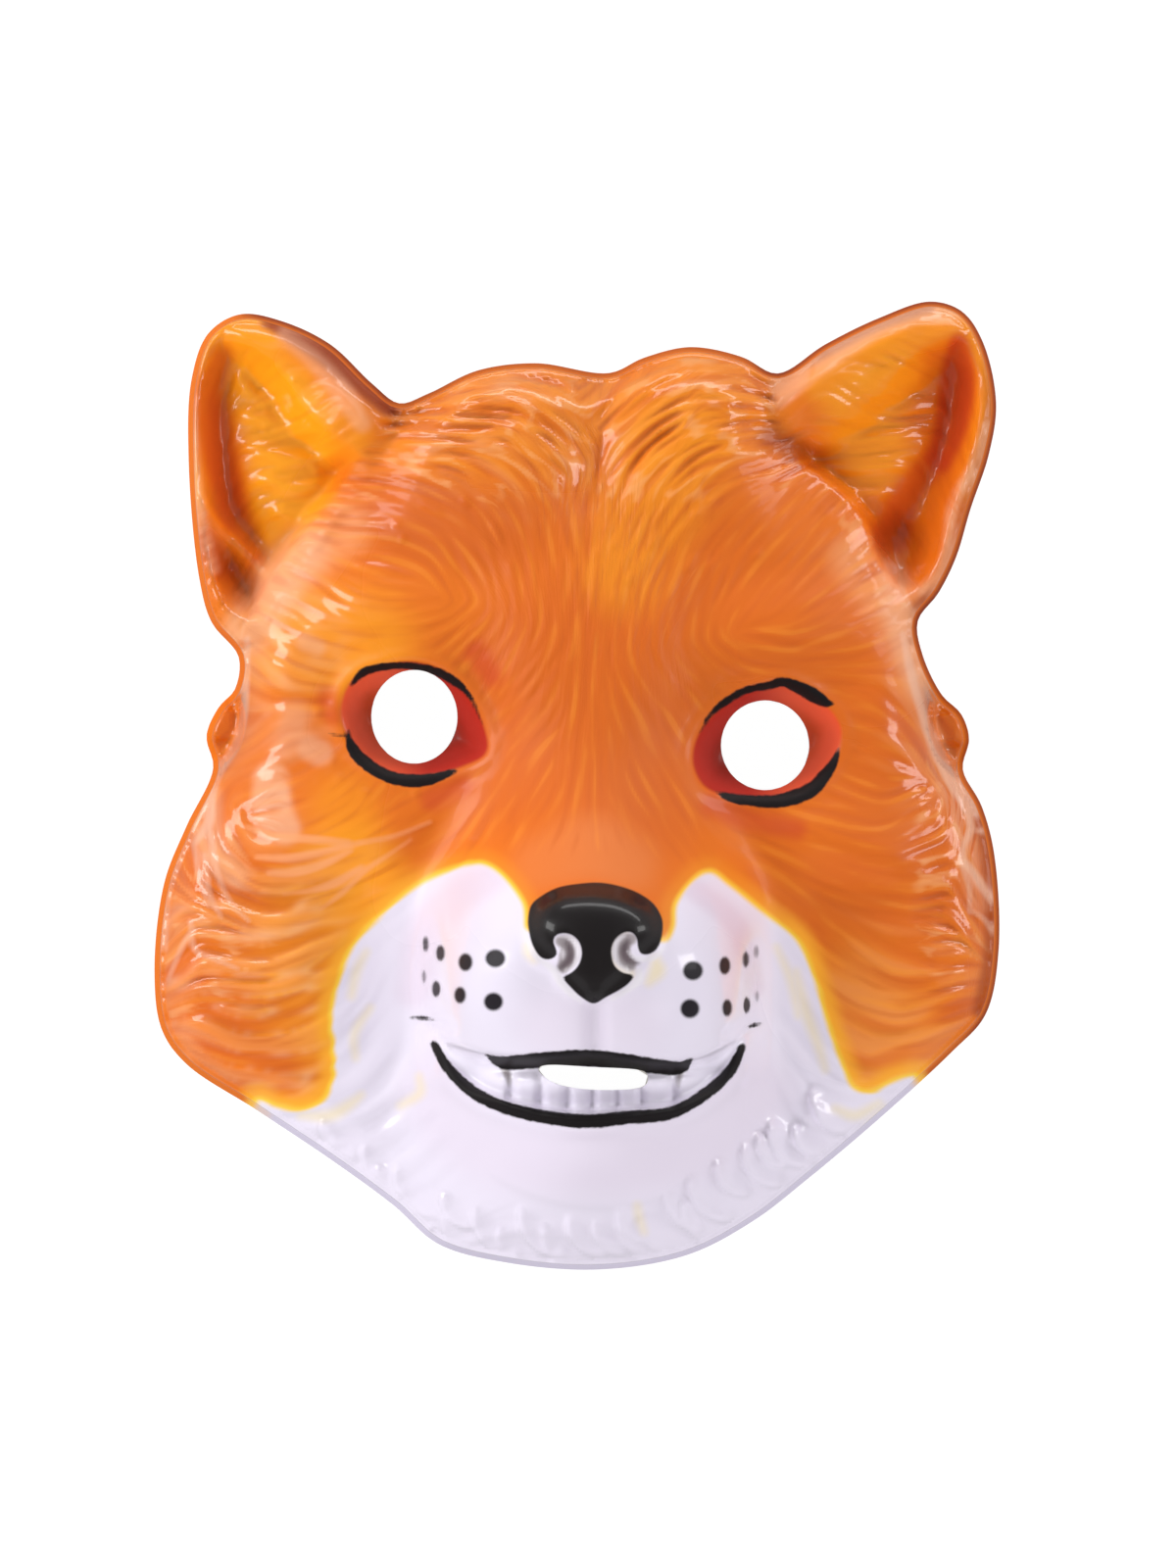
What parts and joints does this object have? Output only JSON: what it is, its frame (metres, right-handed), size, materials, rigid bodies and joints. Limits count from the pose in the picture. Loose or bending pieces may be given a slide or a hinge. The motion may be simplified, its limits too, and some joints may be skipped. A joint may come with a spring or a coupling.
{
  "type": "fox face mask",
  "caption": "Moulded fox face mask in thin glossy plastic, open at the back, with ears, pierced eyes and mouth, a projecting muzzle and two side tabs for a band.",
  "frame": {"origin": "centre of the bounding box in plan, on the plane of the cut rim the mask lies on", "axes": "+Z out of the face, +Y up the face towards the ears, +X towards the viewer's right"},
  "size_m": [0.1726, 0.1978, 0.071],
  "materials": {
    "painted_plastic": "gloss"
  },
  "bodies": {
    "root": {"mask_shell": "painted_plastic"}
  },
  "joints": []
}
